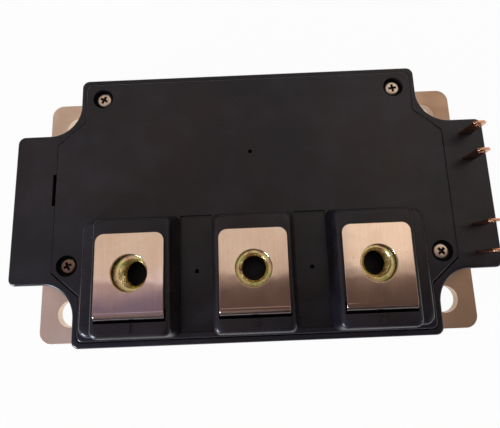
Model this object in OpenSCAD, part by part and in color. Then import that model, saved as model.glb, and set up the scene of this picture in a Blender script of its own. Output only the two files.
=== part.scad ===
// Half-bridge power transistor module on a copper base plate.
// Origin: centre of the base plate's mounting face. X runs along the module, +Z is up.

/* [Base plate] */
// Length of the base plate
plate_l = 108; // [98:0.5:122]
// Width of the base plate
plate_w = 62; // [56:0.5:72]
// Thickness of the base plate
plate_t = 3; // [2:0.1:5]
// Corner radius of the base plate
plate_r = 3; // [1:0.5:5]
// Distance of a mounting hole from the plate's short edge
hole_inset_x = 7.5; // [6:0.25:8]
// Distance of a mounting hole from the plate's long edge
hole_inset_y = 7; // [6:0.25:8]
// Diameter of a mounting hole
hole_d = 6.5; // [4.5:0.1:7]

/* [Case frame] */
// Step from the plate's short edge in to the case
case_inset_x = 0.2; // [0.1:0.1:0.6]
// Step from the plate's long edge in to the case
case_inset_y = 0.7; // [0.3:0.1:1]
// Height of the case rim above the mounting face
rim_z = 20.4; // [19.5:0.1:24]
// Radius of the recess round each mounting hole
recess_r = 7.1; // [6.5:0.1:7.8]
// Corner radius of the case
case_r = 1.6; // [0.6:0.1:2.2]
// Rounding of the case rim's outer edge
rim_edge = 0.6; // [0.2:0.05:0.7]
// Width of the rim beside the lid
rim_t = 1.15; // [1:0.05:1.4]
// Width of the ledge that carries the lid
ledge_w = 1.2; // [0.8:0.1:1.6]
// Thickness of skin left over the hollow in each wing
wing_skin = 3; // [2:0.1:4]
// Distance of the pry slot's middle behind the centre line
pry_y = 4; // [0:0.5:8]
// Length of the pry slot between case and lid
pry_l = 7.2; // [5:0.1:9]
// Width of the pry slot
pry_w = 0.7; // [0.4:0.1:1]
// Depth of the pry slot
pry_depth = 3; // [1.5:0.1:4]

/* [Adhesive bead] */
// Width of the adhesive bead under the frame
bead_w = 1; // [0.6:0.1:1.2]
// Thickness of the adhesive bead
bead_t = 0.5; // [0.3:0.1:0.8]
// Distance from the frame's inner wall to the bead
bead_inset = 0.6; // [0.4:0.1:0.8]

/* [Lid] */
// Thickness of the lid plate
lid_t = 2.4; // [2.1:0.1:3]
// Rise of the lid's face above the rim
lid_rise = 0.8; // [0.4:0.1:1.5]
// Gap between lid and rim
lid_gap = 0.25; // [0.2:0.05:0.4]
// Width of a wing's flat top beside the lid
wing_top = 9.7; // [9:0.1:10.2]
// Distance from a wing's side to where the lid's slanted corner starts
slant_inset = 2.6; // [2:0.1:3.4]
// Slope run, across the module, of the lid's slanted edges
lid_slant_y = 5.2; // [4.6:0.1:6]
// Corner radius of the lid
lid_r = 1.2; // [0.6:0.1:2]
// Rounding of the lid's edge
lid_edge = 0.5; // [0.3:0.05:0.6]
// Diameter of a vent hole in the lid
vent_d = 0.9; // [0.6:0.1:1.6]
// Distance of the rear vent from the lid's rear edge
vent_inset = 17.9; // [12:0.1:21]
// Depth of the channels between the terminal blocks
channel_drop = 0.8; // [0.4:0.1:1]
// Thickness of the lid's ribs and of the lip that centres it in the frame
rib_t = 1.2; // [0.8:0.1:1.6]
// Height of the ribs and the lip under the lid
rib_h = 2.2; // [1:0.1:3]
// Number of ribs under the lid's rear half
ribs = 3; // [1:1:4]
// Gap between the lip and the frame
lip_gap = 0.2; // [0.1:0.05:0.4]

/* [Terminal blocks] */
// Width of a block at its top
block_w = 16.4; // [16:0.1:17.4]
// Growth of a block from top to foot, each side
block_draft = 0.8; // [0.4:0.1:1]
// Distance from the terminal screw to the block's back
block_back = 11.3; // [10:0.1:13]
// Distance from the terminal screw to the block's front
block_front = 12.6; // [11.8:0.1:12.9]
// Corner radius of a block
block_r = 1.4; // [0.8:0.1:2]
// Edge rounding of a block's top
block_edge = 1; // [0.4:0.1:1.2]
// Height of the end shoulders above the lid
shoulder_h = 3.2; // [2:0.1:5]
// Corner radius of a shoulder
shoulder_r = 2; // [1:0.1:2.6]
// Growth of a shoulder from top to foot, each side
shoulder_draft = 0.3; // [0.1:0.05:0.5]

/* [Main terminals] */
// Distance of an outer terminal's screw from the lid's side
term_inset_x = 13; // [12.4:0.1:14]
// Distance of the terminal screws from the lid's front edge
term_inset_y = 13.7; // [13.5:0.1:14.2]
// Width of a terminal
term_w = 14; // [12:0.1:14.6]
// Thickness of the terminal strip
term_t = 1.2; // [0.8:0.1:1.5]
// Height of the terminal tops above the mounting face
term_z = 29; // [28.4:0.1:32]
// Clearance hole in a terminal
term_hole_d = 7.4; // [6.6:0.1:8]
// Distance from the screw to the terminal's back edge
term_back = 8; // [6.5:0.1:9]
// Distance from the screw to the terminal's bent front
term_front = 9.4; // [8.8:0.1:10]
// Radius of the terminal's back corners
term_r = 1.8; // [0.5:0.1:3]
// Outer radius of the terminal's bends
bend_r = 2; // [1.8:0.1:2.6]
// Width of the terminal's leg inside the case
leg_w = 11; // [9:0.1:12]
// Length of the terminal's soldered foot
foot_l = 5; // [4:0.1:5.6]
// Gap round the terminal where it passes the lid
slot_gap = 0.2; // [0.1:0.05:0.4]

/* [Terminal nuts] */
// Width of a nut across its flats
nut_af = 10; // [8:0.1:10.6]
// Height of a nut
nut_h = 5; // [4:0.1:5.2]
// Bore of a nut's thread
nut_bore = 5; // [4:0.1:5.2]
// Play of a nut in its pocket, each side
nut_play = 0.7; // [0.65:0.05:0.9]
// Drop of the nut's face below the terminal
nut_drop = 0.3; // [0.1:0.05:0.5]
// Diameter of the screw relief under a nut
relief_d = 7; // [6.4:0.1:7.6]
// Depth of the screw relief under a nut
relief_h = 2.6; // [1.5:0.1:3]

/* [Lid screws] */
// Distance of the rear lid screws from the lid's side
screw_rear_in = 4; // [3.6:0.1:5]
// Distance of the rear lid screws from the lid's rear edge
screw_rear_back = 3.7; // [3.5:0.1:4.6]
// Distance of the front lid screws from the lid's widest side
screw_front_in = 3.4; // [3:0.1:3.8]
// Distance of the front lid screws behind the lid's slanted corner
screw_front_back = 1.3; // [1.2:0.1:2]
// Diameter of a lid screw's head
head_d = 3.6; // [3:0.1:4]
// Height of a lid screw's head
head_h = 1; // [0.7:0.1:1.4]
// Diameter of a lid screw's shank
shank_d = 2; // [1.6:0.1:2.4]
// Length of a lid screw's shank
shank_l = 7.4; // [6:0.1:8]
// Diameter of the pocket round a screw head
pocket_d = 4.6; // [4.4:0.1:5]
// Depth of the pocket round a screw head
pocket_h = 1.7; // [1:0.1:1.8]
// Diameter of the bosses under the lid screws
boss_d = 6.4; // [5.4:0.1:7]

/* [Control tabs] */
// Distance of the control tabs from the wing's end
tab_inset_x = 4.1; // [3.6:0.1:4.6]
// Distance of the outer tabs from the wing's side
tab_inset_y = 3.4; // [2.8:0.1:3.8]
// Distance between the two tabs of a pair
tab_pitch = 6; // [5:0.1:6.4]
// Width of a control tab
tab_w = 2.8; // [2:0.1:3]
// Thickness of a control tab
tab_t = 0.5; // [0.4:0.05:0.8]
// Rise of a control tab above the rim
tab_rise = 8; // [6:0.1:10]
// Diameter of the hole near a tab's tip
tab_hole_d = 1.2; // [0.8:0.1:1.4]
// Height above the mounting face of a tab's inner run
run_z = 8.2; // [7.8:0.1:9]
// Depth of a tab's inner run
run_h = 1.8; // [1.2:0.1:2]

/* [Circuit] */
// Gap between a ceramic plate and the frame's side wall
ceramic_side_gap = 1.5; // [1:0.1:2.5]
// Gap between the two ceramic plates
ceramic_gap = 2; // [1.4:0.1:2.4]
// Gap between a ceramic plate and the frame's rear wall, clear of the corner bosses
ceramic_rear_gap = 6.7; // [6.5:0.1:8]
// Gap between a ceramic plate and the frame's front wall
ceramic_front_gap = 1.7; // [1:0.1:2]
// Thickness of a ceramic plate
ceramic_t = 0.64; // [0.4:0.02:1]
// Thickness of each copper layer
copper_t = 0.3; // [0.2:0.05:0.5]
// Bare margin round the copper
copper_margin = 1.1; // [0.8:0.1:1.3]
// Gap between neighbouring copper fields
copper_gap = 0.9; // [0.6:0.1:1.2]
// Width of the signal fields
signal_w = 3; // [2.6:0.1:3.2]
// Depth of the front power fields
front_field = 9; // [8.4:0.1:9.4]
// Side of a transistor chip
igbt_side = 11; // [8:0.1:11.4]
// Side of a diode chip
diode_side = 8; // [6:0.1:8.6]
// Thickness of the chips
chip_t = 0.4; // [0.2:0.05:0.6]
// Diameter of a bond wire
wire_d = 0.4; // [0.3:0.05:0.5]
// Rise of a bond wire's loop
wire_rise = 1.5; // [1.2:0.1:1.6]
// Gap between wires on a chip
wire_pitch = 2; // [1.6:0.1:2.2]
// Wires on each chip
wires = 3; // [1:1:4]
// Height of the gel above the mounting face
gel_z = 11.5; // [10.6:0.1:12.5]
// Shrinkage gap round whatever the gel touches
gel_gap = 0.05; // [0.02:0.01:0.1]

/* [Hidden] */
$fn = 48;
eps = 0.01;
// Wall left round the hollow under a wing
wing_wall = 2;
// Chamfer of a nut's corners, and the share of it that is its height
nut_chamfer = 0.9;
chamfer_slope = 0.6;
// Countersink depth of the nut's thread
nut_sink = 0.5;
// Depth of the screw head's rounded edge, and length and depth of its blunt tip
screw_crown = 0.35;
screw_tip = 0.8;
// Corner cut of a tab's tip, distance of its hole from the tip, and how much narrower its foot is
tab_corner = 0.7;
tab_hole_drop = 1.8;
tab_foot_step = 0.8;
// Distance of a wire's end from its chip's edge
wire_land = 1.6;
// Space before and behind the diode row
diode_front_gap = 1;
diode_back_gap = 1.6;
// Margin of the middle terminal's feet from the gap between the ceramic plates
foot_margin = 0.3;
// Distance from the middle terminal's leg to the split in the front copper
split_margin = 1;
// Set-back of a shoulder from the lid's side
shoulder_inset = 1.1;
// Drop below the top, and step in, of each stage of a rounded edge, as shares of the edge
soft_steps = [[1, 0], [0.62, 0.08], [0.29, 0.29], [0.08, 0.62], [0, 1]];

// Case and lid levels and reach
hole_x = plate_l / 2 - hole_inset_x;
hole_y = plate_w / 2 - hole_inset_y;
case_x = plate_l / 2 - case_inset_x;
case_y = plate_w / 2 - case_inset_y;
neck_x = hole_x - recess_r;
wing_y = hole_y - recess_r;
lid_x = neck_x - rim_t - lid_gap;
lid_y = case_y - rim_t - lid_gap;
lid_z = rim_z + lid_rise;
seat_z = lid_z - lid_t;
bay_x = neck_x - rim_t - ledge_w;
bay_y = case_y - rim_t - ledge_w;
wide_x = case_x - wing_top;
slant_y = wing_y - slant_inset;

// Terminals, their blocks and the nuts
term_pitch = lid_x - term_inset_x;
term_axis_y = lid_y - term_inset_y;
block_z = term_z - term_t;
block_rise = block_z - lid_z;
pocket_z = block_z - nut_drop - nut_h;
term_xs = [-term_pitch, 0, term_pitch];
nut_shift = [[0.6, -0.1], [0, 0.1], [-0.2, 0.2]];
shoulder_x = lid_x - shoulder_inset;

// Circuit levels, from the plate up
ceramic_z = plate_t + copper_t;
field_z = ceramic_z + ceramic_t;
circuit_z = field_z + copper_t;
chip_z = circuit_z + chip_t;

// Control tabs
tab_x = case_x - tab_inset_x;
tab_out_y = wing_y - tab_inset_y;
tab_in_y = tab_out_y - tab_pitch;

// Ceramic and copper fields of the right-hand plate, measured from the middle of the module
ceramic_x = bay_x - ceramic_side_gap;
ceramic_rear_y = bay_y - ceramic_rear_gap;
ceramic_front_y = bay_y - ceramic_front_gap;
field_in = ceramic_gap / 2 + copper_margin;
field_out = ceramic_x - copper_margin;
field_back = ceramic_rear_y - copper_margin;
field_front = -ceramic_front_y + copper_margin;
power_front = field_front + front_field + copper_gap;
power_in = field_in + signal_w + copper_gap;
signal_x = field_in + signal_w / 2;
signal_split = (tab_in_y + tab_out_y) / 2;
split_x = leg_w / 2 + split_margin + copper_gap / 2;
chip_xs = [for (i = [1, 3]) power_in + (field_out - power_in) * i / 4];
diode_y = power_front + diode_side / 2 + diode_front_gap;
igbt_y = diode_y + diode_side / 2 + igbt_side / 2 + diode_back_gap;

screw_places = [for (rear = [true, false], s = [-1, 1]) rear
    ? [s * (lid_x - screw_rear_in), lid_y - screw_rear_back]
    : [s * (wide_x - screw_front_in), screw_front_back - slant_y]];
vents = [[0, lid_y - vent_inset], [-term_pitch / 2, -term_axis_y], [term_pitch / 2, -term_axis_y]];
tab_ys = [tab_out_y, tab_in_y, -tab_in_y, -tab_out_y];
tab_sides = [1, 1, -1, -1];

// ---- outlines -------------------------------------------------------------

// Rectangle centred on the origin with rounded corners
module rounded(size, r) {
    square([size[0] - 2 * r, size[1]], center = true);
    square([size[0], size[1] - 2 * r], center = true);
    for (sx = [-1, 1], sy = [-1, 1])
        translate([sx * (size[0] / 2 - r), sy * (size[1] / 2 - r)]) circle(r);
}

// Every mounting hole's place
module at_holes() {
    for (sx = [-1, 1], sy = [-1, 1])
        translate([sx * hole_x, sy * hole_y]) children();
}

// Solid form of the case: a body with two wings, recessed round the holes, its top edges rounded
module case_form(h) {
    difference() {
        union() {
            soft_plate([2 * neck_x, 2 * case_y], h, case_r, rim_edge);
            soft_plate([2 * case_x, 2 * wing_y], h, case_r, rim_edge);
            translate([0, 0, h / 2]) cube([2 * hole_x, 2 * hole_y, h], center = true);
        }
        at_holes() recess(h);
    }
}

// What a mounting hole's recess takes from the case, its top edge flared to round the rim
module recess(h) {
    rotate_extrude() polygon(concat(
        [[0, -1], [recess_r, -1]],
        [for (k = soft_steps) [recess_r + rim_edge * k[1], h - rim_edge * k[0]]],
        [[recess_r + rim_edge, h + 1], [0, h + 1]]
    ));
}

// The lid's wide middle with its four slanted corners, grown by g on every side
module lid_middle(g) {
    x = lid_x + g;
    far = wide_x + g;
    near_y = slant_y + g;
    far_y = slant_y + lid_slant_y + g;
    polygon([
        [-x, far_y], [-far, near_y], [-far, -near_y], [-x, -far_y],
        [x, -far_y], [far, -near_y], [far, near_y], [x, far_y]
    ]);
}

// Outline of the lid, grown by g on every side
module lid_outline(g) {
    rounded([2 * (lid_x + g), 2 * (lid_y + g)], lid_r);
    lid_middle(g);
}

// Upright plate of height h whose top edge is rounded by edge. It narrows by draft, each side, on the way
// up to its given size, and its foot goes down by sink into whatever carries it
module soft_plate(size, h, r, edge, draft = 0, sink = 0) {
    foot = size + [2 * draft, 2 * draft];
    hull() {
        if (sink > 0) translate([0, 0, -sink]) linear_extrude(sink) rounded(foot, r, $fn = 32);
        for (k = soft_steps)
            linear_extrude(h - edge * k[0]) rounded(size - [2, 2] * edge * k[1], r, $fn = 32);
    }
}

// ---- housing --------------------------------------------------------------

// Heat-spreading plate with its four mounting holes
module base_plate() {
    color("#b08468") difference() {
        linear_extrude(plate_t) rounded([plate_l, plate_w], plate_r);
        translate([0, 0, -1]) at_holes() cylinder(d = hole_d, h = plate_t + 2);
    }
}

// Columns under the lid screws. The rear ones fill the corner behind them
module bosses(grow = 0) {
    h = seat_z - plate_t;
    for (p = screw_places) translate([p[0], p[1], plate_t]) {
        cylinder(d = boss_d + 2 * grow, h = h);
        if (p[1] > 0) mirror([p[0] < 0 ? 1 : 0, 0, 0]) cube([boss_d, boss_d, h]);
    }
}

// Plan of the sealing bead between frame and plate
module bead_ring(grow) {
    difference() {
        lid_outline(bead_inset + bead_w + grow - ledge_w);
        lid_outline(bead_inset - grow - ledge_w);
    }
}

// Open frame with wings, lid ledge, screw bosses and tab slots
module case_frame() {
    color("#2b292b") difference() {
        union() {
            difference() {
                translate([0, 0, plate_t]) case_form(rim_z - plate_t);
                translate([0, 0, plate_t - 1])
                    linear_extrude(rim_z) lid_outline(lid_gap - ledge_w);
            }
            intersection() {
                bosses();
                translate([0, 0, plate_t]) linear_extrude(rim_z) lid_outline(lid_gap);
            }
        }
        translate([0, 0, seat_z]) linear_extrude(rim_z) lid_outline(lid_gap);
        for (p = screw_places) translate([p[0], p[1], seat_z - shank_l])
            cylinder(d = shank_d + 2 * gel_gap, h = shank_l + 1);
        for (sx = [-1, 1]) wing_hollow(sx);
        translate([0, 0, plate_t - 1]) linear_extrude(1 + bead_t) bead_ring(gel_gap);
        translate([-wide_x - lid_gap - pry_w, pry_y - pry_l / 2, rim_z - pry_depth])
            cube([pry_w + lid_gap, pry_l, pry_depth + 1]);
        for (i = [0:3]) tab_solid(i, gel_gap);
    }
}

// Hollow under the middle of a wing, between the pairs of tabs
module wing_hollow(side) {
    x0 = wide_x + lid_gap + wing_wall;
    depth = case_x - wing_wall - x0;
    reach = tab_in_y - wing_wall;
    translate([side > 0 ? x0 : -x0 - depth, -reach, plate_t - 1])
        cube([depth, 2 * reach, rim_z - wing_skin - plate_t + 1]);
}

module adhesive_bead() {
    color("#d8d4c8") translate([0, 0, plate_t]) linear_extrude(bead_t) bead_ring(0);
}

// ---- lid ------------------------------------------------------------------

// Three drafted terminal blocks and the two lower shoulders outside them
module lid_blocks() {
    mid_y = (block_back - block_front) / 2 - term_axis_y;
    for (x = term_xs) translate([x, mid_y, lid_z])
        soft_plate([block_w, block_back + block_front], block_rise, block_r, block_edge, block_draft, 1);
    for (s = [-1, 1]) {
        inner = term_pitch;
        translate([s * (inner + shoulder_x) / 2, mid_y, lid_z])
            soft_plate([shoulder_x - inner - 2 * shoulder_draft, block_back + block_front],
                shoulder_h, shoulder_r, block_edge, shoulder_draft, 1);
    }
}

// Floor of the channel between two neighbouring blocks
module channels() {
    gap = term_pitch - block_w - 2 * block_draft;
    back = block_back + block_draft;
    front = block_front;
    for (s = [-1, 1])
        translate([s * term_pitch / 2 - gap / 2, -term_axis_y - front, lid_z - channel_drop])
            cube([gap, back + front, 1 + channel_drop]);
}

// Hexagonal pocket, screw relief and strip slot of one terminal block
module block_cuts() {
    af = nut_af + 2 * nut_play;
    translate([0, 0, pocket_z]) rotate([0, 0, 30]) cylinder(d = af / cos(30), h = nut_h + 2, $fn = 6);
    translate([0, 0, pocket_z - relief_h]) cylinder(d = relief_d, h = relief_h + 1);
    slot_w = term_w + 2 * slot_gap;
    translate([-slot_w / 2, -term_front - slot_gap, seat_z - 1])
        cube([slot_w, term_t + 2 * slot_gap, term_z]);
    translate([-slot_w / 2, -term_front, block_z - bend_r + term_t - slot_gap])
        cube([slot_w, bend_r + slot_gap, term_z]);
}

// Flat plate of the lid: its narrow stretch and its wide middle, both with rounded top edges
module lid_plate() {
    soft_plate([2 * lid_x, 2 * lid_y], lid_t, lid_r, lid_edge);
    hull() for (k = soft_steps) linear_extrude(lid_t - lid_edge * k[0]) lid_middle(-lid_edge * k[1]);
}

// Lip that centres the lid in the frame, and stiffening ribs under its rear half
module lid_underside() {
    translate([0, 0, seat_z - rib_h]) {
        linear_extrude(rib_h) difference() {
            lid_outline(lid_gap - ledge_w - lip_gap);
            lid_outline(lid_gap - ledge_w - lip_gap - rib_t);
            for (p = screw_places) translate([p[0], p[1]]) lip_break(p);
        }
        step = (bay_y - screw_rear_back - boss_d) / (ribs + 1);
        for (k = [1:ribs]) translate([-lid_x + ledge_w, k * step, 0])
            cube([2 * (lid_x - ledge_w), rib_t, rib_h]);
    }
}

// Room in the lip for a lid screw's boss
module lip_break(p) {
    circle(d = boss_d + 2 * lip_gap);
    if (p[1] > 0) mirror([p[0] < 0 ? 1 : 0, 0, 0]) square(boss_d);
}

// Lid with terminal blocks, nut pockets, strip slots, vents and screw pockets
module lid() {
    color("#302d2f") difference() {
        union() {
            translate([0, 0, seat_z]) lid_plate();
            lid_blocks();
            lid_underside();
        }
        channels();
        for (x = term_xs) translate([x, -term_axis_y, 0]) block_cuts();
        for (v = vents) translate([v[0], v[1], seat_z - 1]) cylinder(d = vent_d, h = lid_t + 2);
        for (p = screw_places) translate([p[0], p[1], 0]) {
            translate([0, 0, lid_z - pocket_h]) cylinder(d = pocket_d, h = term_z);
            translate([0, 0, seat_z - 1]) cylinder(d = shank_d + 2 * slot_gap, h = lid_t + 2);
        }
    }
}

// Pan head with a cross recess on a straight shank
module lid_screw() {
    head_z = lid_z - pocket_h;
    difference() {
        rotate_extrude() polygon([
            [0, head_z - shank_l], [shank_d / 2 - screw_tip / 2, head_z - shank_l],
            [shank_d / 2, head_z - shank_l + screw_tip], [shank_d / 2, head_z],
            [head_d / 2, head_z], [head_d / 2, head_z + head_h - screw_crown],
            [head_d / 2 - screw_crown, head_z + head_h], [0, head_z + head_h]
        ]);
        for (a = [0, 90]) rotate([0, 0, a])
            translate([-head_d * 0.3, -head_d * 0.07, head_z + head_h * 0.4])
                cube([head_d * 0.6, head_d * 0.14, head_h]);
    }
}

module lid_screws() {
    color("#c9b49a") for (i = [0:3])
        translate([screw_places[i][0], screw_places[i][1], 0]) rotate([0, 0, 20 + 25 * i]) lid_screw();
}

// ---- terminals ------------------------------------------------------------

// Hexagon nut standing on the origin
module nut() {
    corner = nut_af / cos(30) / 2;
    low = nut_chamfer * chamfer_slope;
    difference() {
        intersection() {
            rotate([0, 0, 30]) cylinder(r = corner, h = nut_h, $fn = 6);
            rotate_extrude() polygon([
                [0, 0], [corner - nut_chamfer, 0], [corner, low],
                [corner, nut_h - low], [corner - nut_chamfer, nut_h], [0, nut_h]
            ]);
        }
        translate([0, 0, -1]) cylinder(d = nut_bore, h = nut_h + 2);
        translate([0, 0, nut_h - nut_sink])
            cylinder(d1 = nut_bore, d2 = nut_bore + 2 * (nut_sink + eps), h = nut_sink + eps);
    }
}

module terminal_nuts() {
    color("#d8b45a") for (i = [0:2])
        translate([term_xs[i] + nut_shift[i][0], -term_axis_y + nut_shift[i][1], pocket_z]) nut();
}

// A quarter bend of the strip in profile, its centre on the origin
module bend() {
    intersection() {
        difference() {
            circle(bend_r);
            circle(bend_r - term_t);
        }
        square(bend_r + 1);
    }
}

// Side view of a terminal strip: u is the distance behind the strip's front face
module strip_profile(grow) {
    translate([bend_r, term_z - term_t]) square([term_front + term_back - bend_r, term_t]);
    translate([bend_r, term_z - bend_r]) mirror([1, 0]) bend();
    translate([-grow, circuit_z + bend_r - grow])
        square([term_t + 2 * grow, term_z - 2 * bend_r - circuit_z + grow]);
    translate([bend_r, circuit_z + bend_r]) rotate(180) bend_grown(grow);
    translate([bend_r - grow, circuit_z]) square([foot_l - bend_r + 2 * grow, term_t + grow]);
}

// The same bend, grown on both faces
module bend_grown(grow) {
    intersection() {
        difference() {
            circle(bend_r + grow);
            circle(bend_r - term_t - grow);
        }
        square(bend_r + 1);
    }
}

// Terminal strip with its clearance hole, its leg and its foot
module strip(grow) {
    intersection() {
        translate([0, -term_front, 0]) rotate([90, 0, 90])
            linear_extrude(term_w + 2, center = true) strip_profile(grow);
        union() {
            translate([0, 0, seat_z]) linear_extrude(term_z) difference() {
                strip_plan();
                circle(d = term_hole_d);
            }
            translate([-leg_w / 2 - grow, -term_front - 1, 0])
                cube([leg_w + 2 * grow, term_front + term_back, seat_z]);
        }
    }
}

// The strip seen from above, its screw hole on the origin
module strip_plan() {
    back = term_back - term_r;
    translate([-term_w / 2, -term_front - 1]) square([term_w, term_front + 1 + back]);
    translate([-term_w / 2 + term_r, 0]) square([term_w - 2 * term_r, term_back]);
    for (s = [-1, 1]) translate([s * (term_w / 2 - term_r), back]) circle(term_r);
}

module main_terminal(i, grow = 0) {
    translate([term_xs[i], -term_axis_y, 0]) difference() {
        strip(grow);
        if (term_xs[i] == 0) middle_notch(grow);
    }
}

// The middle strip straddles the gap between the two ceramic plates
module middle_notch(grow) {
    w = 2 * (field_in + foot_margin - grow);
    translate([-w / 2, -term_front - 1, 0]) cube([w, foot_l + 2, gel_z - 2]);
}

module main_terminal_left() { color("#c9b0a0") main_terminal(0); }
module main_terminal_middle() { color("#c9b0a0") main_terminal(1); }
module main_terminal_right() { color("#c9b0a0") main_terminal(2); }

// ---- control tabs ---------------------------------------------------------

// Blade, inner run and foot of control tab i, stamped from one strip
module tab_solid(i, grow = 0) {
    foot_x = tab_sides[i] * signal_x;
    tip_z = rim_z + tab_rise;
    half = tab_w / 2 + grow;
    foot_half = (tab_w - tab_foot_step) / 2 + grow;
    translate([0, tab_ys[i] + tab_t / 2 + grow, 0]) rotate([90, 0, 0])
        linear_extrude(tab_t + 2 * grow) polygon([
            [tab_x - half, run_z + run_h + grow], [tab_x - half, tip_z - tab_corner],
            [tab_x - half + tab_corner, tip_z], [tab_x + half - tab_corner, tip_z],
            [tab_x + half, tip_z - tab_corner], [tab_x + half, run_z - grow],
            [foot_x + foot_half, run_z - grow], [foot_x + foot_half, circuit_z],
            [foot_x - foot_half, circuit_z], [foot_x - foot_half, run_z + run_h + grow]
        ]);
}

module control_tab(i) {
    color("#b9734a") difference() {
        tab_solid(i);
        translate([tab_x, tab_ys[i] + tab_t, rim_z + tab_rise - tab_hole_drop])
            rotate([90, 0, 0]) cylinder(d = tab_hole_d, h = 2 * tab_t);
    }
}

module control_tab_1() { control_tab(0); }
module control_tab_2() { control_tab(1); }
module control_tab_3() { control_tab(2); }
module control_tab_4() { control_tab(3); }

// ---- circuit --------------------------------------------------------------

// A flat layer between two corners
module field(x0, y0, x1, y1, t) {
    translate([x0, y0, 0]) cube([x1 - x0, y1 - y0, t]);
}

// Children on the right, or mirrored to the left
module on_side(s) {
    mirror([s < 0 ? 1 : 0, 0, 0]) children();
}

module back_copper(s) {
    color("#b87333") on_side(s) translate([0, 0, plate_t])
        field(field_in, field_front, field_out, field_back, copper_t);
}

module ceramic(s) {
    color("#e8e4da") on_side(s) translate([0, 0, ceramic_z])
        field(ceramic_gap / 2, -ceramic_front_y, ceramic_x, ceramic_rear_y, ceramic_t);
}

// Two front power fields, the chip field and two signal fields
module circuit_copper(s) {
    split = s * signal_split;
    color("#c98a55") on_side(s) translate([0, 0, field_z]) {
        field(field_in, field_front, split_x - copper_gap / 2, field_front + front_field, copper_t);
        field(split_x + copper_gap / 2, field_front, field_out, field_front + front_field, copper_t);
        field(power_in, power_front, field_out, field_back, copper_t);
        field(field_in, power_front, field_in + signal_w, split - copper_gap / 2, copper_t);
        field(field_in, split + copper_gap / 2, field_in + signal_w, field_back, copper_t);
    }
}

module chips(s, side, y, tint) {
    color(tint) on_side(s) for (x = chip_xs)
        translate([x - side / 2, y - side / 2, circuit_z]) cube([side, side, chip_t]);
}

// One looped wire along Y. Its back end stands on level z0 and its front end on level z1, not above z0
module wire_loop(y_back, y_front, z0, z1, grow) {
    span = y_back - y_front;
    bow = (span * span / 4 + wire_rise * wire_rise) / (2 * wire_rise);
    translate([0, (y_back + y_front) / 2, z0]) intersection() {
        translate([0, 0, wire_rise - bow]) rotate([0, 90, 0])
            rotate_extrude() translate([bow, 0]) circle(wire_d / 2 + grow, $fn = 16);
        union() {
            translate([-1, 0, 0]) cube([2, span, wire_rise + 1]);
            translate([-1, -span, z1 - z0]) cube([2, span, wire_rise + 1 + z0 - z1]);
        }
    }
}

module bond_wires(s, grow = 0) {
    color("#d9d9dc") on_side(s)
        for (x = chip_xs, k = [0:wires - 1])
            translate([x + (k - (wires - 1) / 2) * wire_pitch, 0, 0]) {
                wire_loop(igbt_y - igbt_side / 2 + wire_land, diode_y + diode_side / 2 - wire_land,
                    chip_z, chip_z, grow);
                wire_loop(diode_y - diode_side / 2 + wire_land, power_front - copper_gap - wire_land,
                    chip_z, circuit_z, grow);
            }
}

// Soft potting over the circuit, shrunk away from everything it touches
module silicone_gel() {
    floor_z = plate_t;
    color("#dfe6ea") difference() {
        translate([0, 0, floor_z])
            linear_extrude(gel_z - floor_z) lid_outline(lid_gap - ledge_w - gel_gap);
        bosses(gel_gap);
        for (s = [-1, 1]) on_side(s) {
            translate([0, 0, floor_z - 1]) field(field_in, field_front, field_out, field_back, copper_t + 1);
            translate([0, 0, ceramic_z])
                field(ceramic_gap / 2, -ceramic_front_y, ceramic_x, ceramic_rear_y, circuit_z - ceramic_z);
            for (x = chip_xs) {
                translate([x - igbt_side / 2, igbt_y - igbt_side / 2, circuit_z - eps])
                    cube([igbt_side, igbt_side, chip_t + eps]);
                translate([x - diode_side / 2, diode_y - diode_side / 2, circuit_z - eps])
                    cube([diode_side, diode_side, chip_t + eps]);
            }
        }
        for (s = [-1, 1]) bond_wires(s, gel_gap);
        for (i = [0:2]) main_terminal(i, gel_gap);
        for (i = [0:3]) tab_solid(i, gel_gap);
    }
}

module back_copper_left() { back_copper(-1); }
module back_copper_right() { back_copper(1); }
module ceramic_left() { ceramic(-1); }
module ceramic_right() { ceramic(1); }
module circuit_copper_left() { circuit_copper(-1); }
module circuit_copper_right() { circuit_copper(1); }
module igbt_chips_left() { chips(-1, igbt_side, igbt_y, "#6e6f78"); }
module igbt_chips_right() { chips(1, igbt_side, igbt_y, "#6e6f78"); }
module diode_chips_left() { chips(-1, diode_side, diode_y, "#85868f"); }
module diode_chips_right() { chips(1, diode_side, diode_y, "#85868f"); }
module bond_wires_left() { bond_wires(-1); }
module bond_wires_right() { bond_wires(1); }

base_plate();
case_frame();
adhesive_bead();
lid();
lid_screws();
terminal_nuts();
main_terminal_left();
main_terminal_middle();
main_terminal_right();
control_tab_1();
control_tab_2();
control_tab_3();
control_tab_4();
back_copper_left();
back_copper_right();
ceramic_left();
ceramic_right();
circuit_copper_left();
circuit_copper_right();
igbt_chips_left();
igbt_chips_right();
diode_chips_left();
diode_chips_right();
bond_wires_left();
bond_wires_right();
silicone_gel();
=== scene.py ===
# %% [markdown]
# # Half-bridge power transistor module
#
# A power module is a flat box of moulded plastic on a metal plate. The plate carries the heat away, the
# plastic keeps fingers and dust from the live parts, and three big screw terminals carry the current.
# This script starts from the solid model of the part and dresses it: soft edges on the sheet metal, real
# screw threads, plated metals and a studio to look at it in.

# %% [markdown]
# ## Start from the solid model
#
# Sizes and places are written in millimetres and multiplied by `MM`, because that is how such parts are
# drawn. Only the grain of the materials, the lights and the paper are in metres.

# %%
import bpy
import bmesh
import math
from mathutils import Matrix, Vector


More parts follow.
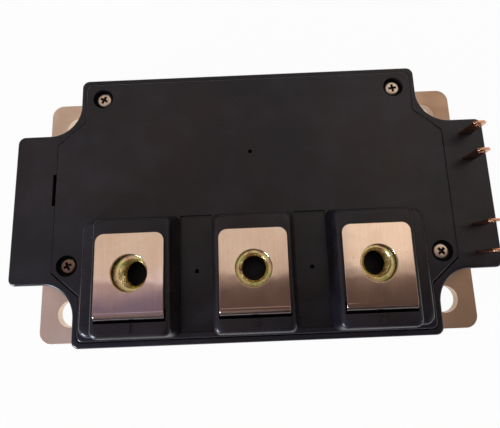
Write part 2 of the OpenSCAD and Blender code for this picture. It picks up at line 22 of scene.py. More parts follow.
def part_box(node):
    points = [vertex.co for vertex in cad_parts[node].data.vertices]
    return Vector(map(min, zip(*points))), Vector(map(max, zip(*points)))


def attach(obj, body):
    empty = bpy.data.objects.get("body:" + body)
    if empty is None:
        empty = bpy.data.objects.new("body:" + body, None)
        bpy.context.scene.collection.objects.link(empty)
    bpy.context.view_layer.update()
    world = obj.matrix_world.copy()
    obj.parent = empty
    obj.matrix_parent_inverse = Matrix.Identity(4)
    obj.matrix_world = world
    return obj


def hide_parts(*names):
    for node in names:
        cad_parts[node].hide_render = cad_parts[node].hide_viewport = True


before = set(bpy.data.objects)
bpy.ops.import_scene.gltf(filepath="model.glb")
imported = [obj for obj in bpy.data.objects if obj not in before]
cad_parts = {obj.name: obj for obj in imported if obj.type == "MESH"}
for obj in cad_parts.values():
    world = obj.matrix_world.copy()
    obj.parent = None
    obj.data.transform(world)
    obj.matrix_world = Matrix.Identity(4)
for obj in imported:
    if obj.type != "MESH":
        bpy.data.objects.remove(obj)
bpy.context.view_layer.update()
scene = bpy.context.scene
MM = 0.001
print(len(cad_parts), "solids loaded")

# %% [markdown]
# ## Measures that come from the solids
#
# The places of the terminals, their nuts and the lid's face are read from the boxes of the solids, so the
# dressing keeps to them if the part is made longer or wider.

# %%
strips = ["main_terminal_left", "main_terminal_middle", "main_terminal_right"]
strip_boxes = [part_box(name) for name in strips]
nut_low, nut_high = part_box("terminal_nuts")
screw_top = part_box("lid_screws")[1][2]
strip_top = strip_boxes[0][1][2]
strip_front = strip_boxes[0][0][1]
strip_axis = (nut_low[1] + nut_high[1]) / 2
print("terminal tops at", round(strip_top / MM, 2), "mm, nuts from", round(nut_low[2] / MM, 2), "mm")

# %% [markdown]
# ## Materials are small node trees
#
# Each material starts as one Principled shader, and values that are the same all over go straight on it.
# The helpers here make the shader, add a node to it and link two nodes.

# %%
def finish(name, colour, metallic=0.0, roughness=0.5, **sockets):
    """A Principled material. Further sockets are given by name, with _ for a space."""
    material = bpy.data.materials.new(name)
    material.use_nodes = True
    shader = material.node_tree.nodes["Principled BSDF"]
    shader.inputs["Base Color"].default_value = (*colour, 1)
    shader.inputs["Metallic"].default_value = metallic
    shader.inputs["Roughness"].default_value = roughness
    for key, value in sockets.items():
        shader.inputs[key.replace("_", " ")].default_value = value
    return material


def add(material, kind, **settings):
    """One new node with its settings, which may name sockets by their label."""
    node = material.node_tree.nodes.new(kind)
    for key, value in settings.items():
        if hasattr(node, key):
            setattr(node, key, value)
        else:
            node.inputs[key.replace("_", " ")].default_value = value
    return node


def link(material, source, target):
    """Joins an output socket to an input socket."""
    material.node_tree.links.new(source, target)


print("helpers for shaders ready")

# %% [markdown]
# ## Patterns
#
# Noise is laid out in object space, so it sticks to the surface at its real size. A ramp turns it into
# colours or greys, and a mix puts one colour over another.

# %%
def place(material, stretch=(1, 1, 1), offset=(0, 0, 0)):
    """Object coordinates, stretched so that a grain can run one way."""
    coords = add(material, "ShaderNodeTexCoord")
    mapping = add(material, "ShaderNodeMapping")
    mapping.inputs["Scale"].default_value = stretch
    mapping.inputs["Location"].default_value = offset
    link(material, coords.outputs["Object"], mapping.inputs["Vector"])
    return mapping.outputs["Vector"]


def noise(material, size, detail=3.0, rough=0.5, stretch=(1, 1, 1), offset=(0, 0, 0)):
    """Noise whose blobs are about size across, in metres."""
    node = add(material, "ShaderNodeTexNoise", Scale=1 / size, Detail=detail, Roughness=rough)
    link(material, place(material, stretch, offset), node.inputs["Vector"])
    return node.outputs["Fac"]


def ramp(material, factor, stops):
    """Colours along a 0 to 1 value. stops is [(position, colour or grey), ...]."""
    node = add(material, "ShaderNodeValToRGB")
    band = node.color_ramp
    while len(band.elements) < len(stops):
        band.elements.new(0.5)
    for element, (position, colour) in zip(band.elements, stops):
        element.position = position
        grey = not hasattr(colour, "__len__")
        element.color = (colour, colour, colour, 1) if grey else (*colour, 1)
    link(material, factor, node.inputs["Fac"])
    return node.outputs["Color"]


def mix(material, factor, a, b, mode="MIX"):
    """Mixes two colours. factor, a and b are sockets or plain values."""
    node = add(material, "ShaderNodeMix", data_type="RGBA", blend_type=mode)
    for value, socket in ((factor, node.inputs[0]), (a, node.inputs[6]), (b, node.inputs[7])):
        if isinstance(value, bpy.types.NodeSocket):
            link(material, value, socket)
        elif socket.type == "RGBA":
            socket.default_value = (*value, 1)
        else:
            socket.default_value = value
    return node.outputs[2]


print("helpers for patterns ready")

# %% [markdown]
# ## Relief and borders
#
# Bumps are stacked, the coarse one first. A border follows one coordinate of the object, with a smooth
# step from one side to the other.

# %%
def bump(material, heights):
    """Stacks bumps on the shader. heights is [(socket, height in metres, strength), ...]."""
    before = None
    for socket, distance, strength in heights:
        node = add(material, "ShaderNodeBump", Distance=distance, Strength=strength)
        link(material, socket, node.inputs["Height"])
        if before:
            link(material, before, node.inputs["Normal"])
        before = node.outputs["Normal"]
    link(material, before, material.node_tree.nodes["Principled BSDF"].inputs["Normal"])


def shade(material, **sockets):
    """Links sockets to the shader's inputs by name."""
    shader = material.node_tree.nodes["Principled BSDF"]
    for key, socket in sockets.items():
        link(material, socket, shader.inputs[key.replace("_", " ")])


def axis(material, which):
    """One object coordinate in metres, as a value."""
    coords = add(material, "ShaderNodeTexCoord")
    split = add(material, "ShaderNodeSeparateXYZ")
    link(material, coords.outputs["Object"], split.inputs[0])
    return split.outputs[which]


def span(material, value, low, high):
    """0 below low, 1 above high and smooth between."""
    node = add(material, "ShaderNodeMapRange", interpolation_type="SMOOTHSTEP")
    node.inputs["From Min"].default_value = low
    node.inputs["From Max"].default_value = high
    link(material, value, node.inputs["Value"])
    return node.outputs["Result"]


print("helpers for relief and borders ready")

# %% [markdown]
# ## Moulded plastic
#
# The case and lid are injection moulded from a glass-filled polyester. The mould's face is spark eroded,
# which leaves a very fine matt grain, and handling leaves faint smears that show only in the gloss. The
# colour is not a pure black: it drifts a little between warm and cool.

# %%
def moulded(name, warm, cool, gloss, floor=None):
    """Dark moulded plastic. Below the height floor its colour is painted shade, near black, and it is
    duller.
    """
    material = finish(name, warm, roughness=gloss, IOR=1.5, Specular_IOR_Level=0.33)
    drift = noise(material, 0.024, 2, 0.5)
    colour = mix(material, ramp(material, drift, [(0.36, 0.0), (0.6, 1.0)]), warm, cool)
    cloud = noise(material, 0.009, 3, 0.55, offset=(3, 1, 0))
    dusty = tuple(c * 1.7 + 0.004 for c in cool)
    colour = mix(material, ramp(material, cloud, [(0.46, 0.0), (0.72, 0.9)]), colour, dusty)
    specks = ramp(material, noise(material, 0.0004, 1, 0.5, offset=(9, 2, 5)), [(0.80, 0.0), (0.84, 0.5)])
    colour = mix(material, specks, colour, (0.16, 0.15, 0.15))
    smear = noise(material, 0.011, 4, 0.6, stretch=(1, 2.4, 1), offset=(7, 0, 2))
    rough = ramp(material, smear, [(0.3, gloss - 0.05), (0.7, gloss + 0.09)])
    # Below floor the colour is painted shade: near black, as in pockets that no light reaches.
    if floor is not None:
        above = span(material, axis(material, "Z"), floor - 0.4 * MM, floor)
        colour = mix(material, above, (0.002, 0.002, 0.002), colour)
        rough = mix(material, above, (0.7, 0.7, 0.7), rough)
    shade(material, Base_Color=colour, Roughness=rough)
    bump(material, [
        (noise(material, 0.010, 1, 0.4, offset=(0, 5, 0)), 0.00003, 0.5),
        (noise(material, 0.00022, 2, 0.6), 0.000004, 0.5),
    ])
    return material


case_plastic = moulded("case_plastic", (0.0150, 0.0104, 0.0106), (0.0105, 0.0088, 0.0128), 0.25)
# The lid's colour below the tops of its screws is painted shade.
lid_plastic = moulded("lid_plastic", (0.0165, 0.0110, 0.0106), (0.0104, 0.0088, 0.0128), 0.26,
                      floor=screw_top - 0.4 * MM)
print("plastics:", case_plastic.name, lid_plastic.name)

# %% [markdown]
# ## Plated and bare metals
#
# The plate and the terminals are copper with a thin coat of nickel, which looks warm because the coat is
# thin and old. Stampings show the grain of the rolled sheet as fine lines. These helpers make such
# metals, and darken one along a border: on the terminals a painted reflection, on a screw a painted
# shadow.

# %%
def speckled(name, low, high, size, metallic=0.0, roughness=0.5, **sockets):
    """A finish that wanders between two colours."""
    material = finish(name, low, metallic=metallic, roughness=roughness, **sockets)
    blobs = noise(material, size, 3)
    shade(material, Base_Color=ramp(material, blobs, [(0.35, low), (0.65, high)]))
    bump(material, [(noise(material, size / 6, 2), size / 60, 0.4)])
    return material


def rolled_metal(name, colours, roughness, grain, line=0.00012, wave=0.00002, streak=0.95):
    """Sheet metal with rolling lines. grain stretches the lines along one axis."""
    material = finish(name, colours[0], metallic=1.0, roughness=roughness)
    tone = noise(material, 0.007, 3, 0.5, offset=(2, 0, 1))
    colour = ramp(material, tone, [(0.36, colours[0]), (0.64, colours[1])])
    spots = ramp(material, noise(material, 0.0006, 2, 0.6), [(0.66, 0.0), (0.76, 0.4)])
    colour = mix(material, spots, colour, colours[2])
    streaks = noise(material, line * 3, 3, 0.6, stretch=grain, offset=(1, 1, 4))
    shadow = ramp(material, streaks, [(0.35, streak), (0.6, 1.0)])
    shade(material, Base_Color=mix(material, 1.0, colour, shadow, "MULTIPLY"),
          Roughness=ramp(material, tone, [(0.3, roughness - 0.02), (0.7, roughness + 0.06)]))
    bump(material, [
        (noise(material, 0.005, 2, 0.5, offset=(0, 3, 0)), wave, 0.45),
        (noise(material, line, 2, 0.6, stretch=grain), 0.000003, 0.5),
    ])
    return material


def tinted(material, value, clear, full, tint):
    """Multiplies the colour by tint, from none of it at clear to all of it at full."""
    shader = material.node_tree.nodes["Principled BSDF"]
    colour = shader.inputs["Base Color"].links[0].from_socket
    amount = mix(material, span(material, value, clear, full), (1, 1, 1), tint)
    shade(material, Base_Color=mix(material, 1.0, colour, amount, "MULTIPLY"))


def wavering(material, value, size, reach, seed):
    """A coordinate that wanders by up to reach, so that a border made from it is not straight."""
    waver = add(material, "ShaderNodeMath", operation="MULTIPLY_ADD")
    link(material, noise(material, size, 2, 0.4, offset=seed), waver.inputs[0])
    waver.inputs[1].default_value = reach
    link(material, value, waver.inputs[2])
    return waver.outputs[0]


print("helpers for metals ready")

# %% [markdown]
# ## The metals outside
#
# The plate's colour is darker towards its right end. The terminals are darker at the front, a painted
# reflection, and on the bent nose, a painted cool reflection. The screw at the front left is darker than
# the other three: a painted shadow. The nuts are zinc plated and yellow chromated, and that film shifts
# between gold, green and rose.

# %%
terminal_metal = rolled_metal("terminal_metal",
                              [(0.95, 0.74, 0.57), (0.90, 0.67, 0.50), (0.50, 0.33, 0.24)],
                              0.09, (1, 0.04, 0.04))
plate_metal = rolled_metal("plated_copper_plate",
                           [(0.80, 0.61, 0.47), (0.70, 0.52, 0.39), (0.40, 0.26, 0.18)],
                           0.36, (0.08, 1, 1), wave=0.00001, streak=0.97)
tab_metal = rolled_metal("tab_metal", [(0.80, 0.42, 0.25), (0.68, 0.33, 0.19), (0.36, 0.18, 0.11)],
                         0.22, (1, 1, 0.06))
screw_metal = rolled_metal("screw_metal", [(0.74, 0.62, 0.50), (0.62, 0.49, 0.38), (0.25, 0.17, 0.12)],
                           0.3, (1, 1, 1))
tinted(plate_metal, axis(plate_metal, "X"), 30 * MM, 52 * MM, (0.62, 0.54, 0.47))
# The front of each terminal is painted darker, a painted reflection, behind a border that wanders.
painted_reflection_border = wavering(terminal_metal, axis(terminal_metal, "Y"), 9 * MM, 8 * MM, (0.3, 9, 2))
tinted(terminal_metal, painted_reflection_border, strip_axis + 2.7 * MM, strip_axis + 1.3 * MM, (0.66, 0.60, 0.60))
# Below the top face the nose and sides are painted darker and bluer: a painted reflection.
tinted(terminal_metal, axis(terminal_metal, "Z"), strip_top - 0.12 * MM, strip_top - 0.5 * MM,
       (0.30, 0.38, 0.50))

# The screw at the front left is painted darker: a painted shadow.
front_corner = add(screw_metal, "ShaderNodeMath", operation="ADD")
for spot, which in enumerate("XY"):
    link(screw_metal, axis(screw_metal, which), front_corner.inputs[spot])
tinted(screw_metal, front_corner.outputs[0], -20 * MM, -35 * MM, (0.35, 0.27, 0.24))

# The walls of the screw crosses get this dark, rough metal: painted shade in the recess.
shaded_recess_metal = speckled("shaded_recess_metal", (0.13, 0.09, 0.06), (0.05, 0.035, 0.03), 0.0006,
                        metallic=1.0, roughness=0.5)
nut_metal = finish("nut_metal", (0.80, 0.60, 0.20), metallic=1.0, roughness=0.27)
film = noise(nut_metal, 0.0016, 2, 0.5)
shade(nut_metal,
      Base_Color=ramp(nut_metal, film, [(0.32, (0.70, 0.74, 0.24)), (0.44, (0.92, 0.80, 0.34)),
                                        (0.58, (0.92, 0.70, 0.33)), (0.70, (0.70, 0.42, 0.26))]),
      Roughness=ramp(nut_metal, noise(nut_metal, 0.0008, 2), [(0.3, 0.2), (0.7, 0.36)]))
bump(nut_metal, [(noise(nut_metal, 0.0003, 2), 0.000006, 0.5)])
print("metals:", terminal_metal.name, plate_metal.name, tab_metal.name, screw_metal.name, nut_metal.name)

# %% [markdown]
# ## Materials inside
#
# The lid hides the circuit, but the part can be opened or cut in half, so what is inside has its real
# finish too: white alumina, copper fields, grey silicon, aluminium wire and a clear soft gel.

# %%
inside = {
    "adhesive": speckled("adhesive", (0.55, 0.52, 0.46), (0.64, 0.61, 0.55), 0.004, roughness=0.6),
    "circuit_copper": speckled("circuit_copper", (0.72, 0.36, 0.20), (0.78, 0.45, 0.28), 0.003,
                               metallic=1.0, roughness=0.32),
    "ceramic": speckled("ceramic", (0.80, 0.79, 0.75), (0.86, 0.85, 0.82), 0.002, roughness=0.55),
    "silicon": speckled("silicon", (0.16, 0.17, 0.20), (0.23, 0.23, 0.26), 0.004,
                        metallic=0.7, roughness=0.2),
    "bond_wire": speckled("bond_wire", (0.78, 0.79, 0.80), (0.88, 0.88, 0.88), 0.001,
                          metallic=1.0, roughness=0.3),
    "gel": speckled("gel", (0.80, 0.86, 0.88), (0.88, 0.92, 0.93), 0.01, roughness=0.08,
                    Transmission_Weight=0.9, IOR=1.4),
}
inside_nodes = {
    "adhesive_bead": "adhesive", "back_copper": "circuit_copper", "circuit_copper": "circuit_copper",
    "ceramic": "ceramic", "igbt_chips": "silicon", "diode_chips": "silicon",
    "bond_wires": "bond_wire", "silicone_gel": "gel",
}
for name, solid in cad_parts.items():
    for start, key in inside_nodes.items():
        if name.startswith(start):
            for slot in solid.material_slots:
                slot.material = inside[key]
            print(name, "->", key)

# %% [markdown]
# ## From a solid to a moulding
#
# This copies a solid, joins its doubled points and shades it smooth. Weighted normals keep the flats flat.
# The metal pieces are knife-sharp in the solid model, so the edges inside their flat faces are cleared
# away and a small bevel rounds what is still sharp. The case and the lid keep the rounded edges they were
# drawn with.

# %%
def moulding(node, name, material, edge=0.0, angle=32, segments=2):
    """A dressed copy of one solid. edge is the width of its bevel, or 0 for none."""
    mesh = bpy.data.meshes.new(name)
    shape = bmesh.new()
    shape.from_mesh(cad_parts[node].data)
    bmesh.ops.remove_doubles(shape, verts=shape.verts, dist=0.002 * MM)
    if edge:
        bmesh.ops.dissolve_limit(shape, angle_limit=math.radians(0.6), verts=shape.verts,
                                 edges=shape.edges)
    for face in shape.faces:
        face.smooth = True
    for side in shape.edges:
        if len(side.link_faces) == 2 and side.calc_face_angle(0) > math.radians(angle):
            side.smooth = bool(edge)
    shape.to_mesh(mesh)
    shape.free()
    mesh.materials.clear()
    mesh.materials.append(material)
    piece = bpy.data.objects.new(name, mesh)
    scene.collection.objects.link(piece)
    if edge:
        soft = piece.modifiers.new("soft_edges", "BEVEL")
        soft.limit_method = "ANGLE"
        soft.angle_limit = math.radians(angle)
        soft.width = edge
        soft.segments = segments
        soft.use_clamp_overlap = True
        soft.miter_outer = "MITER_ARC"
    weight = piece.modifiers.new("flat_faces", "WEIGHTED_NORMAL")
    weight.keep_sharp = True
    weight.weight = 60
    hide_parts(node)
    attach(piece, "root")
    print(name, len(mesh.polygons), "faces before rounding")


plate_edge = 0.35 * MM
strip_edge = 0.14 * MM
tab_edge = 0.06 * MM
moulding("base_plate", "base", plate_metal, plate_edge, segments=3)
moulding("case_frame", "case", case_plastic)
moulding("lid", "cover", lid_plastic)
for node in strips:
    moulding(node, node.removeprefix("main_"), terminal_metal, strip_edge)
for number in range(1, 5):
    moulding("control_tab_" + str(number), "tab_" + str(number), tab_metal, tab_edge)

# %% [markdown]
# ## Nuts with a real thread
#
# The nuts are loose hexagons that their pockets keep from turning. A closed profile is spun into a ring
# with `bmesh.ops.spin`. Then the points of its inner wall are moved out along the helix of the thread, and
# those of its outer wall are moved in to the hexagon, whose corners are cut back by a 30 degree chamfer.

# %%
def spun(profile, steps):
    """One skin spun round Z from (radius, height) points. A profile that starts at the axis stays open."""
    shape = bmesh.new()
    points = [shape.verts.new((radius, 0, height)) for radius, height in profile]
    sides = [shape.edges.new(pair) for pair in zip(points, points[1:])]
    if profile[0][0]:
        sides.append(shape.edges.new((points[-1], points[0])))
    bmesh.ops.spin(shape, geom=points + sides, axis=(0, 0, 1), cent=(0, 0, 0), angle=2 * math.pi,
                   steps=steps, use_merge=True)
    bmesh.ops.remove_doubles(shape, verts=shape.verts, dist=0.001 * MM)
    return shape


def thread_radius(angle, z, height, minor, major, pitch):
    """The wall of a threaded bore: a helical groove with flat crests, open at both ends."""
    phase = (z / pitch - angle / (2 * math.pi)) % 1.0
    groove = min(1.0, 1.1 * max(0.0, 1.0 - 2.3 * abs(phase - 0.5)))
    return max(minor + (major - minor) * groove, major - z, major - (height - z))


def threaded_nut(centre, flats, height, minor, major, pitch, steps=96, rows_per_turn=10):
    """A hexagon nut that stands on centre, flats wide across its flats."""
    face = flats * 0.48
    lip = 0.15 * MM
    corner = flats / math.sqrt(3)
    rows = round(height / pitch * rows_per_turn)
    profile = [(minor, height * row / rows) for row in range(rows + 1)]
    profile += [(major + lip, height), (face, height), (corner, height * 0.9), (corner, height / 2),
                (corner, height * 0.1), (face, 0), (major + lip, 0)]
    shape = spun(profile, steps)
    for vert in shape.verts:
        angle, z = math.atan2(vert.co.y, vert.co.x), vert.co.z
        radius = vert.co.xy.length
        if radius < minor + lip:
            radius = thread_radius(angle, z, height, minor, major, pitch)
        elif radius > face + lip:
            radius = flats / 2 / math.cos((angle + math.pi / 6) % (math.pi / 3) - math.pi / 6)
            drop = (radius - face) * math.tan(math.radians(30))
            if abs(z - height / 2) > lip:
                z = height - drop if z > height / 2 else drop
        vert.co = (radius * math.cos(angle), radius * math.sin(angle), z)
    bmesh.ops.translate(shape, verts=shape.verts, vec=centre)
    return shape


print("helpers for nuts ready")

# %% [markdown]
# ## From shapes to a piece
#
# Separate shapes go into one mesh, and the mesh becomes a piece on the body. Where a solid holds several
# separate bodies, each one's box is found by walking along the edges, so the dressing sits where they sit.

# %%
def joined(shapes):
    """Puts several bmeshes into one."""
    whole = bmesh.new()
    for shape in shapes:
        part = bpy.data.meshes.new("part")
        shape.to_mesh(part)
        shape.free()
        whole.from_mesh(part)
        bpy.data.meshes.remove(part)
    return whole


def finished(name, shape, material, node, flat_angle=35):
    """Turns a bmesh into a piece on the body, smooth but for its real edges."""
    bmesh.ops.recalc_face_normals(shape, faces=shape.faces)
    for face in shape.faces:
        face.smooth = True
    for edge in shape.edges:
        if len(edge.link_faces) == 2:
            edge.smooth = edge.calc_face_angle(0) < math.radians(flat_angle)
    mesh = bpy.data.meshes.new(name)
    shape.to_mesh(mesh)
    shape.free()
    mesh.materials.append(material)
    piece = bpy.data.objects.new(name, mesh)
    scene.collection.objects.link(piece)
    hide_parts(node)
    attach(piece, "root")
    print(name, len(mesh.polygons), "faces")
    return piece


def islands(node):
    """The low and high corner of each separate body in one solid's mesh, from left to right."""
    shape = bmesh.new()
    shape.from_mesh(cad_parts[node].data)
    bmesh.ops.remove_doubles(shape, verts=shape.verts, dist=0.002 * MM)
    left = set(shape.verts)
    found = []
    while left:
        group, queue = set(), [left.pop()]
        while queue:
            vert = queue.pop()
            group.add(vert)
            for edge in vert.link_edges:
                other = edge.other_vert(vert)
                if other in left:
                    left.discard(other)
                    queue.append(other)
        points = [v.co for v in group]
        low = Vector([min(p[i] for p in points) for i in range(3)])
        high = Vector([max(p[i] for p in points) for i in range(3)])
        found.append((low, high))
    shape.free()
    return sorted(found, key=lambda box: (round(box[0].x, 3), box[0].y))


thread_minor = 2.5 * MM
thread_major = 3.0 * MM
thread_pitch = 1.0 * MM
nuts = []
for low, high in islands("terminal_nuts"):
    centre = ((low.x + high.x) / 2, (low.y + high.y) / 2, low.z)
    nuts.append(threaded_nut(centre, high.x - low.x, high.z - low.z, thread_minor, thread_major,
                             thread_pitch))
    print("nut", [round((b - a) / MM, 2) for a, b in zip(low, high)])
finished("nuts", joined(nuts), nut_metal, "terminal_nuts")

# %% [markdown]
# ## Lid screws
#
# Four small pan head screws hold the lid. A head is a turned dome, and the driver's cross is pressed into
# it with walls that lean inwards, so the driver centres itself. The cross is cut by a boolean, the way
# the punch makes it, and its walls are painted dark as shade.

# %%
def screw_head(centre, radius, height):
    """A dome on a short skirt, closed at its foot."""
    skirt = height * 0.45
    profile = [(0, -0.2 * MM), (radius * 0.98, 0), (radius, height * 0.15), (radius, skirt)]
    for k in range(1, 7):
        angle = math.pi / 2 * k / 6
        profile.append((radius * (0.55 + 0.45 * math.cos(angle)),
                        skirt + (height - skirt) * math.sin(angle)))
    profile.append((0, height))
    shape = spun(profile, 40)
    bmesh.ops.translate(shape, verts=shape.verts, vec=centre)
    return shape


def cross_punch(centre, turn, reach, half_width, depth, above):
    """A plus-shaped plug: a square with an arm drawn out of each side, narrower at its bottom."""
    shape = bmesh.new()
    bmesh.ops.create_grid(shape, x_segments=1, y_segments=1, size=half_width)
    for side in list(shape.edges):
        drawn = bmesh.ops.extrude_edge_only(shape, edges=[side])["geom"]
        ends = [part for part in drawn if isinstance(part, bmesh.types.BMVert)]
        outward = (ends[0].co + ends[1].co).normalized()
        bmesh.ops.translate(shape, verts=ends, vec=outward * (reach - half_width))
    bottom = list(shape.verts)
    raised = bmesh.ops.extrude_face_region(shape, geom=shape.faces[:])["geom"]
    top = [part for part in raised if isinstance(part, bmesh.types.BMVert)]
    bmesh.ops.scale(shape, verts=bottom, vec=(0.42, 0.42, 1))
    bmesh.ops.scale(shape, verts=top, vec=(1.12, 1.12, 1))
    bmesh.ops.translate(shape, verts=bottom, vec=(0, 0, -depth))
    bmesh.ops.translate(shape, verts=top, vec=(0, 0, above))
    bmesh.ops.rotate(shape, verts=shape.verts, cent=(0, 0, 0), matrix=Matrix.Rotation(turn, 3, "Z"))
    bmesh.ops.translate(shape, verts=shape.verts, vec=centre)
    return shape


def hidden_piece(name, shape):
    """A mesh object outside the scene, for a boolean to cut with."""
    mesh = bpy.data.meshes.new(name)
    bmesh.ops.recalc_face_normals(shape, faces=shape.faces)
    shape.to_mesh(mesh)
    shape.free()
    # The faces this cuts take the painted-shade metal.
    mesh.materials.append(shaded_recess_metal)
    return bpy.data.objects.new(name, mesh)


print("helpers for screws ready")

# %% [markdown]
# ## Punching the crosses
#
# Each head is turned another way, as screws are when they have been driven home.

# %%
head_height = 1.0 * MM
cross_reach = 0.95 * MM
cross_half_width = 0.30 * MM
cross_depth = 0.85 * MM
punch_above = 0.2 * MM
first_turn = 24
turn_between = 37
heads, punches = [], []
for number, (low, high) in enumerate(islands("lid_screws")):
    middle = (low + high) / 2
    heads.append(screw_head((middle.x, middle.y, high.z - head_height), (high.x - low.x) / 2, head_height))
    turn = math.radians(first_turn + turn_between * number)
    punch = cross_punch((middle.x, middle.y, high.z), turn, cross_reach, cross_half_width, cross_depth,
                        punch_above)
    punches.append(hidden_piece("punch_" + str(number), punch))
screws = finished("screws", joined(heads), screw_metal, "lid_screws")
for punch in punches:
    scene.collection.objects.link(punch)
    cut = screws.modifiers.new(punch.name, "BOOLEAN")
    cut.operation = "DIFFERENCE"
    cut.solver = "EXACT"
    cut.material_mode = "TRANSFER"
    cut.object = punch
bpy.context.view_layer.update()
cut_mesh = bpy.data.meshes.new_from_object(screws.evaluated_get(bpy.context.evaluated_depsgraph_get()))
screws.modifiers.clear()
screws.data = cut_mesh
for punch in punches:
    bpy.data.objects.remove(punch)
print("screws cut:", len(cut_mesh.polygons), "faces")

# %% [markdown]
# ## Numbers by the terminals
#
# Terminals are numbered so that nobody wires the module backwards. The figures stand proud of the
# moulding by about 0.3 mm, in front of each terminal, in the same plastic.

# %%
def figure(text, name, centre, size, rise):
    """One raised figure in the lid's plastic, with its middle at centre."""
    curve = bpy.data.curves.new(name, "FONT")
    curve.body = text
    curve.size = size
    curve.extrude = rise
    curve.offset = 0.06 * MM
    curve.bevel_depth = 0.04 * MM
    curve.align_x = "CENTER"
    curve.align_y = "CENTER"
    holder = bpy.data.objects.new(name, curve)
    scene.collection.objects.link(holder)
    bpy.context.view_layer.update()
    mesh = bpy.data.meshes.new_from_object(holder.evaluated_get(bpy.context.evaluated_depsgraph_get()))
    bpy.data.objects.remove(holder)
    mesh.transform(Matrix.Translation(centre))
    mesh.materials.clear()
    mesh.materials.append(lid_plastic)
    piece = bpy.data.objects.new(name, mesh)
    scene.collection.objects.link(piece)
    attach(piece, "root")
    print(name, "at", [round(v / MM, 1) for v in centre])


block_top = strip_top - 1.2 * MM
figure_y = strip_front - 1.35 * MM
figure_size = 2.7 * MM
figure_rise = 0.28 * MM
for number, (low, high) in enumerate(strip_boxes, 1):
    centre = ((low[0] + high[0]) / 2, figure_y, block_top)
    figure(str(number), "figure_" + str(number), centre, figure_size, figure_rise)

# %% [markdown]
# ## Studio
#
# Dark glossy plastic and plated metal show little but what they reflect. Two warm softboxes overhead
# light the lid and fill the rear of the terminals, and their front edge draws the border of the darker
# part. In front of that edge, at the left, hang a blue box and a thin tube, and a wide dim card further
# forward. A small bright window low at the front left picks out the rounded edges. A weak fill from the
# right keeps the far sides from going black.

# %%
def softbox(name, centre, size, radiance, colour, aim=None):
    """An area light given by how bright its face looks. Without an aim it hangs flat, facing down."""
    lamp = bpy.data.lights.new(name, "AREA")
    lamp.shape = "RECTANGLE"
    lamp.size, lamp.size_y = size
    lamp.energy = radiance * math.pi * size[0] * size[1]
    lamp.color = colour
    holder = bpy.data.objects.new(name, lamp)
    holder.location = centre
    if aim:
        holder.rotation_euler = (Vector(aim) - Vector(centre)).to_track_quat("-Z", "Y").to_euler()
    else:
        holder.rotation_euler = (0, 0, ceiling_turn)
    scene.collection.objects.link(holder)
    print(name, "radiance", radiance)


ceiling_turn = math.radians(4)
on_module = (0, 0, 0.02)
softbox("overhead", (0, 0.374, 0.5), (1.5, 0.78), 0.52, (1.0, 0.93, 0.87))
softbox("overhead_right", (0.36, 0.382, 0.49), (0.56, 0.78), 0.27, (1.0, 0.92, 0.84))
softbox("front_left", (-0.35, -0.192, 0.48), (0.52, 0.34), 0.30, (0.42, 0.46, 1.0))
softbox("tube", (-0.2, -0.15, 0.47), (0.6, 0.05), 0.45, (0.95, 0.92, 1.0))
softbox("front_card", (-0.35, -0.44, 0.40), (0.9, 0.5), 0.16, (0.80, 0.85, 1.0), on_module)
softbox("window", (-0.45, -0.42, 0.15), (0.17, 0.17), 48.0, (0.74, 0.84, 1.0), on_module)
softbox("fill", (0.55, -0.25, 0.30), (0.4, 0.4), 0.5, (1.0, 0.95, 0.9), on_module)

room = bpy.data.worlds.new("room")
scene.world = room
room.use_nodes = True
room.node_tree.nodes["Background"].inputs["Color"].default_value = (0.135, 0.105, 0.102, 1)

# %% [markdown]
# ## Paper cove
#
# The module lies on a sheet of white paper that runs out flat and then curves up into a wall all round.
# Its profile is a line, a quarter circle and a line, and a spin makes it a bowl. The camera sees the paper
# as white. So do reflections and rays through glass, but for them the white fades up the wall, because a
# bright wall would draw light outlines on the edges. Every other ray sees how the paper is really lit,
# and a little of that is left in the white, so that the module keeps its shadow.

# %%
def cove(flat, curve, wall, below, steps=48):
    """A round floor, below the module by a hair, that curves up into a wall seen from within."""
    profile = [(0, -below)]
    for k in range(9):
        angle = math.pi / 2 * k / 8
        profile.append((flat + curve * math.sin(angle), curve * (1 - math.cos(angle)) - below))
    profile.append((flat + curve, wall - below))
    shape = spun(profile, steps)
    for face in shape.faces:
        face.smooth = True
        if face.normal.z < 0 or face.normal.dot(face.calc_center_median()) > 0.001:
            face.normal_flip()
    mesh = bpy.data.meshes.new("floor")
    shape.to_mesh(mesh)
    shape.free()
    return bpy.data.objects.new("floor", mesh)


floor = cove(flat=1.6, curve=0.5, wall=1.7, below=0.02 * MM)
scene.collection.objects.link(floor)
print("cove of", len(floor.data.polygons), "faces")

# %% [markdown]
# ## The paper's white
#
# The ray's kind decides between the glow and the lit paper. The share of white is a little under one.

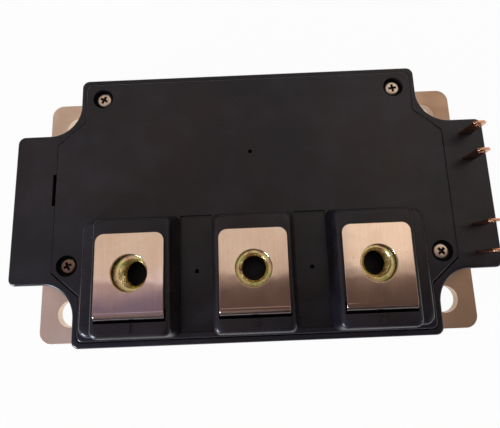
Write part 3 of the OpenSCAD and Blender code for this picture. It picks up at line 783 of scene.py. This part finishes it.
# %%
white_share = 0.96
fade_height = 0.12
paper = finish("paper", (0.86, 0.86, 0.86), roughness=0.9)
tree = paper.node_tree
glow = add(paper, "ShaderNodeEmission", Color=(1, 1, 1, 1), Strength=1.0)
path = add(paper, "ShaderNodeLightPath")
blend = add(paper, "ShaderNodeMixShader")
amount = add(paper, "ShaderNodeMath", operation="MULTIPLY")
amount.inputs[1].default_value = white_share
low_down = span(paper, axis(paper, "Z"), fade_height, 0.0)
seen = path.outputs["Is Camera Ray"]
for kind in ("Is Glossy Ray", "Is Transmission Ray"):
    near_floor = add(paper, "ShaderNodeMath", operation="MULTIPLY")
    link(paper, path.outputs[kind], near_floor.inputs[0])
    link(paper, low_down, near_floor.inputs[1])
    either = add(paper, "ShaderNodeMath", operation="MAXIMUM")
    link(paper, seen, either.inputs[0])
    link(paper, near_floor.outputs[0], either.inputs[1])
    seen = either.outputs[0]
link(paper, seen, amount.inputs[0])
link(paper, amount.outputs[0], blend.inputs["Fac"])
link(paper, tree.nodes["Principled BSDF"].outputs[0], blend.inputs[1])
link(paper, glow.outputs[0], blend.inputs[2])
link(paper, blend.outputs[0], tree.nodes["Material Output"].inputs["Surface"])
floor.data.materials.append(paper)
print("paper white for camera, reflections and glass; fades above", fade_height, "m in the last two")

# %% [markdown]
# ## Camera
#
# The camera hangs a hand's width above the module, a little in front of its middle, and leans back by
# thirteen degrees. That close, the terminals look larger than the plate below them.

# %%
lens = bpy.data.cameras.new("camera")
lens.sensor_width = 36
lens.lens = 33.9
lens.shift_x = -0.0142
lens.shift_y = -0.088
lens.clip_start = 0.005
camera = bpy.data.objects.new("camera", lens)
camera.location = (1.96 * MM, -17.41 * MM, 124.63 * MM)
camera.rotation_euler = (math.radians(13.03), math.radians(0.82), math.radians(-2.27))
scene.collection.objects.link(camera)
scene.camera = camera
scene.view_settings.view_transform = "Standard"
print("camera at", [round(v / MM, 1) for v in camera.location])

# %% [markdown]
# ## Last of all
#
# The view layer is brought up to date.

# %%
bpy.context.view_layer.update()
